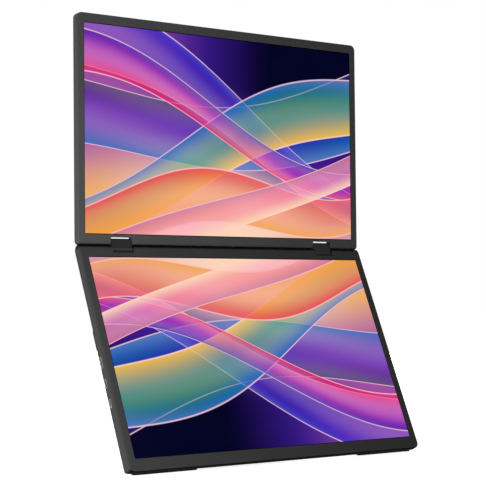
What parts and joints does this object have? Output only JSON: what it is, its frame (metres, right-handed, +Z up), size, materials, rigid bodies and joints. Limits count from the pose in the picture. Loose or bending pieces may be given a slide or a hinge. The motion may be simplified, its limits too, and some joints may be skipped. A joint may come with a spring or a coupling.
{
  "type": "dual-screen portable monitor",
  "caption": "Folding portable monitor: stacked displays joined by twin-axis friction hinges, with a fold-out rear stand, side sockets and push buttons.",
  "frame": {"origin": "middle of the object's footprint box, on the table top under the feet", "axes": "+X to the viewer's right, +Y away from the viewer, +Z up"},
  "size_m": [0.3616, 0.1394, 0.457],
  "materials": {
    "rear_cover": "fine blasted, dark grey coat",
    "bezel": "fine matte moulded texture",
    "display": "anti-glare face over a lit picture",
    "light_guide": "white light guide stack",
    "hinge_link": "dark satin coat",
    "hinge_steel": "plain steel, oiled",
    "friction_bronze": "spring bronze",
    "screw_steel": "zinc plated",
    "circuit_board": "green solder mask",
    "chip": "black moulded package",
    "socket_metal": "nickel plated shell",
    "lead": "black sleeve",
    "flex": "amber film",
    "button": "fine matte",
    "stand_metal": "fine blasted, dark grey coat",
    "foot_rubber": "matte rubber"
  },
  "bodies": {
    "base": {"base_rear_cover": "rear_cover", "base_front_bezel": "bezel", "base_display_cell": "display", "base_backlight": "light_guide", "base_hinge_bracket_left": "hinge_steel", "base_hinge_bracket_right": "hinge_steel", "base_hinge_screws": "screw_steel", "base_lead": "lead", "main_board": "circuit_board", "main_board_chips": "chip", "main_board_screws": "screw_steel", "oval_socket_upper": "socket_metal", "oval_socket_lower": "socket_metal", "video_socket": "socket_metal", "base_panel_flex": "flex", "button_switches": "chip", "button_board": "circuit_board", "stand_clutch_left": "hinge_steel", "stand_clutch_right": "hinge_steel", "stand_clutch_screws": "screw_steel", "bottom_foot_left": "foot_rubber", "bottom_foot_right": "foot_rubber"},
    "hinge_links": {"hinge_link_left": "hinge_link", "hinge_link_right": "hinge_link", "base_hinge_shaft_left": "hinge_steel", "base_hinge_shaft_right": "hinge_steel", "lid_hinge_shaft_left": "hinge_steel", "lid_hinge_shaft_right": "hinge_steel", "friction_washers": "friction_bronze", "shaft_nuts": "hinge_steel", "link_lead": "lead"},
    "lid": {"lid_rear_cover": "rear_cover", "lid_front_bezel": "bezel", "lid_display_cell": "display", "lid_backlight": "light_guide", "lid_hinge_bracket_left": "hinge_steel", "lid_hinge_bracket_right": "hinge_steel", "lid_hinge_screws": "screw_steel", "lid_lead": "lead", "lid_driver_board": "circuit_board", "lid_driver_screws": "screw_steel", "lid_panel_flex": "flex"},
    "stand": {"stand_plate": "stand_metal", "stand_pins": "hinge_steel", "stand_feet": "foot_rubber"},
    "power_button": {"power_button": "button"},
    "plus_button": {"plus_button": "button"},
    "minus_button": {"minus_button": "button"}
  },
  "joints": [
    {"name": "link_fold", "type": "hinge", "parent": "base", "child": "hinge_links", "pos_m": [0, 0.04551, 0.21353], "axis": [-1, 0, 0], "range_deg": [-77.5, 72.5]},
    {"name": "lid_fold", "type": "hinge", "parent": "hinge_links", "child": "lid", "pos_m": [0, 0.04839, 0.22425], "axis": [-1, 0, 0], "range_deg": [-77.5, 72.5]},
    {"name": "stand_fold", "type": "hinge", "parent": "base", "child": "stand", "pos_m": [0, 0.01188, 0.14231], "axis": [1, 0, 0], "range_deg": [-48.5, 11.5]},
    {"name": "power_press", "type": "slide", "parent": "base", "child": "power_button", "axis": [-1, 0, 0], "range_m": [0, 0.0004], "stiffness_N_per_m": 1500},
    {"name": "plus_press", "type": "slide", "parent": "base", "child": "plus_button", "axis": [-1, 0, 0], "range_m": [0, 0.0004], "stiffness_N_per_m": 1500},
    {"name": "minus_press", "type": "slide", "parent": "base", "child": "minus_button", "axis": [-1, 0, 0], "range_m": [0, 0.0004], "stiffness_N_per_m": 1500}
  ]
}
